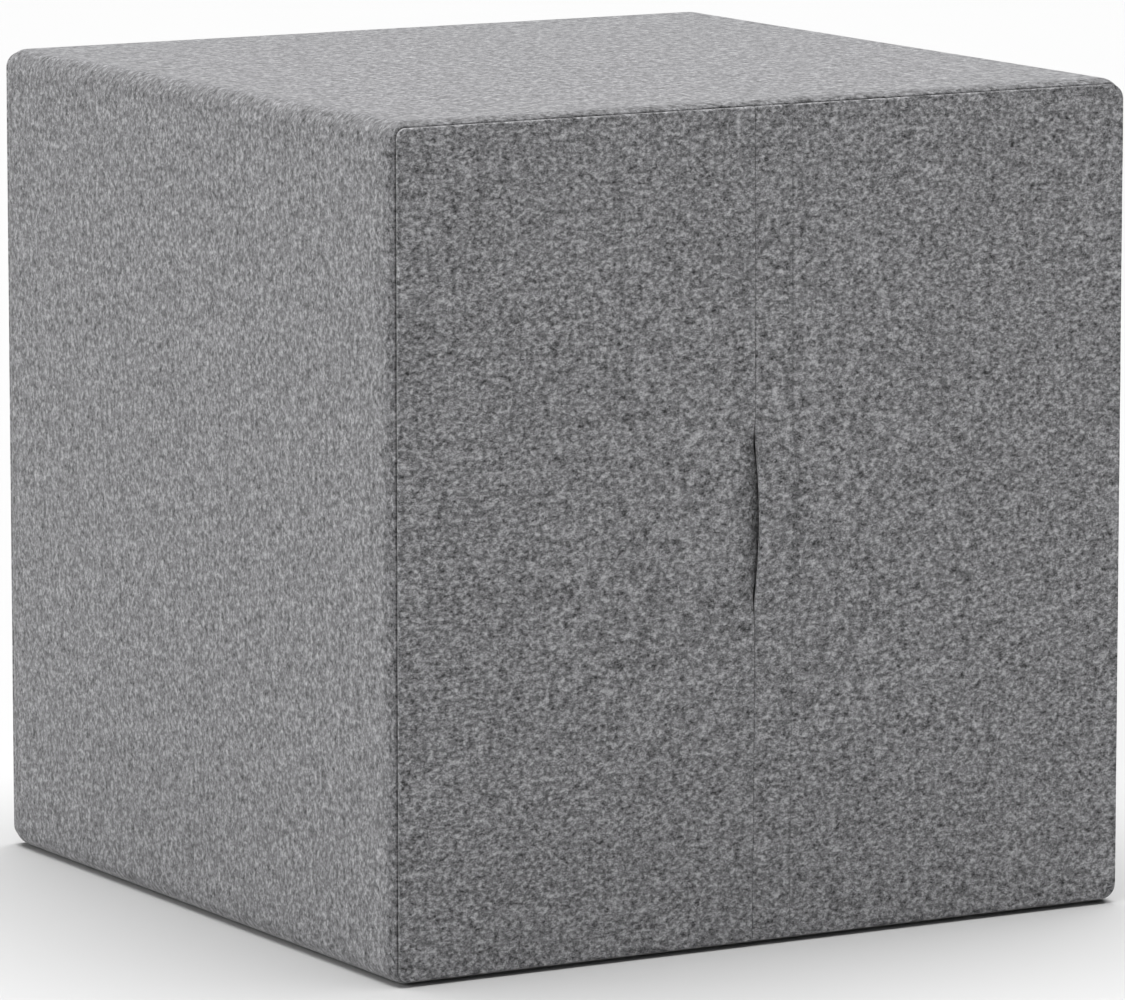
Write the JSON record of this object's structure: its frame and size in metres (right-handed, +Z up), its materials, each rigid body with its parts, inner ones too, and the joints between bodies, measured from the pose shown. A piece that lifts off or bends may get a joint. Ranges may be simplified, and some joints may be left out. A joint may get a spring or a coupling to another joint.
{
  "type": "cube pouf stool",
  "caption": "Square upholstered felt cube to sit or put the feet on, with sewn-in front and back squares and a hand slit in the front seam.",
  "frame": {"origin": "middle of the underside, on the surface the pouf stands on", "axes": "+Z up; -Y out of the front, which has the upright seam and the slit; +X to the right as seen from the front"},
  "size_m": [0.453, 0.4535, 0.4515],
  "materials": {
    "felt": "mottled mid-grey heather wool felt, matt",
    "filling": "plain grey foam filling, matt, seen only through the slit"
  },
  "bodies": {
    "root": {"filled_body": "filling", "band": "felt", "front_panel_left": "felt", "front_panel_right": "felt", "back_panel": "felt"}
  },
  "joints": []
}
